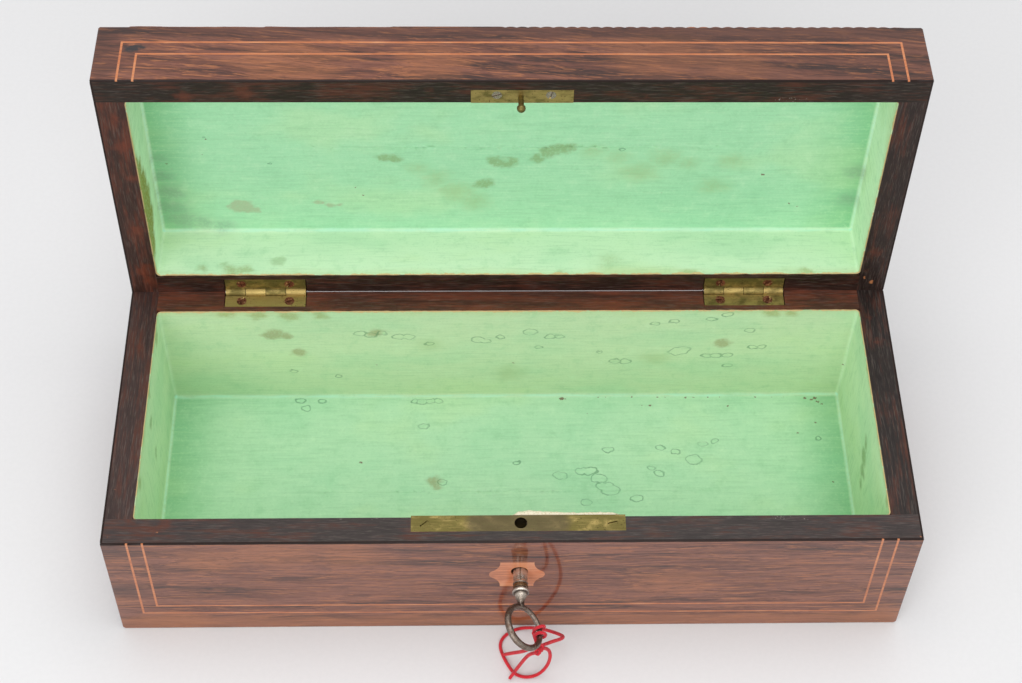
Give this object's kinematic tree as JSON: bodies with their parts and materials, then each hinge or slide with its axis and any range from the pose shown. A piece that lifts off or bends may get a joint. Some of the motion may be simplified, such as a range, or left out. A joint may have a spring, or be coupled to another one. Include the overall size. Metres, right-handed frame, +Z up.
{
  "type": "glove box",
  "caption": "Long shallow veneered box with a paper-lined well, a lid on brass butt hinges that opens past upright, a box lock and a pipe key on a string.",
  "frame": {"origin": "centre of the underside of the base", "axes": "+X to the right along the length, +Y from the keyhole front to the hinges, +Z up"},
  "size_m": [0.3, 0.1808, 0.1784],
  "materials": {
    "rosewood_veneer": "French polished, red-brown straight grain",
    "stained_carcass": "dark stained softwood, semi-matt",
    "stringing_wood": "light straight-grained strip, polished flush",
    "escutcheon_wood": "light inlaid plate, polished flush",
    "lining_paper": "matt mint green paper, stained",
    "old_brass": "worn and dulled",
    "old_steel": "worn, lightly rusted",
    "red_string": "two-ply twisted cord"
  },
  "bodies": {
    "base": {"base_front_veneer": "rosewood_veneer", "base_back_veneer": "rosewood_veneer", "base_left_veneer": "rosewood_veneer", "base_right_veneer": "rosewood_veneer", "base_front_wall": "stained_carcass", "base_back_wall": "stained_carcass", "base_left_wall": "stained_carcass", "base_right_wall": "stained_carcass", "base_bottom_board": "stained_carcass", "base_outer_stringing": "stringing_wood", "base_inner_stringing": "stringing_wood", "escutcheon": "escutcheon_wood", "base_wall_paper": "lining_paper", "base_floor_paper": "lining_paper", "hinge_left_base_leaf": "old_brass", "hinge_right_base_leaf": "old_brass", "hinge_base_screws": "old_brass", "lock_plate": "old_brass", "lock_case": "old_brass", "lock_guide_studs": "old_brass", "selvedge_screws": "old_brass", "back_plate_screws": "old_brass", "hinge_left_pin": "old_steel", "hinge_right_pin": "old_steel"},
    "lid": {"lid_front_veneer": "rosewood_veneer", "lid_back_veneer": "rosewood_veneer", "lid_left_veneer": "rosewood_veneer", "lid_right_veneer": "rosewood_veneer", "lid_top_veneer": "rosewood_veneer", "lid_front_rail": "stained_carcass", "lid_back_rail": "stained_carcass", "lid_left_rail": "stained_carcass", "lid_right_rail": "stained_carcass", "lid_top_board": "stained_carcass", "lid_outer_stringing": "stringing_wood", "lid_inner_stringing": "stringing_wood", "lid_wall_paper": "lining_paper", "lid_ceiling_paper": "lining_paper", "hinge_left_lid_leaf": "old_brass", "hinge_right_lid_leaf": "old_brass", "strike_plate": "old_brass", "strike_stud": "old_brass", "strike_screws": "old_steel", "hinge_lid_screws": "old_brass"},
    "lock_pin": {"lock_drill_pin": "old_steel"},
    "key": {"key_shank": "old_steel", "key_bit": "old_steel", "key_bow": "old_steel", "string_knot": "red_string", "string_loop": "red_string", "string_left_end": "red_string", "string_front_end": "red_string"},
    "bolt": {"lock_bolt": "old_steel", "lock_bolt_spring": "old_steel"}
  },
  "joints": [
    {"name": "lid", "type": "hinge", "parent": "base", "child": "lid", "pos_m": [0, 0.05725, 0.0625], "axis": [1, 0, 0], "range_deg": [0, 92]},
    {"name": "key_turn", "type": "hinge", "parent": "base", "child": "lock_pin", "pos_m": [0.0025, -0.0587, 0.0416], "axis": [0, -1, 0], "range_deg": [0, 360]},
    {"name": "key_withdraw", "type": "slide", "parent": "lock_pin", "child": "key", "axis": [0, -1, 0], "range_m": [0, 0.014]},
    {"name": "bolt", "type": "slide", "parent": "base", "child": "bolt", "axis": [-1, 0, 0], "range_m": [0, 0.004]}
  ],
  "couplings": [
    {"joint": "bolt", "follows": "key_turn", "m_per_rad": 0.000636}
  ]
}
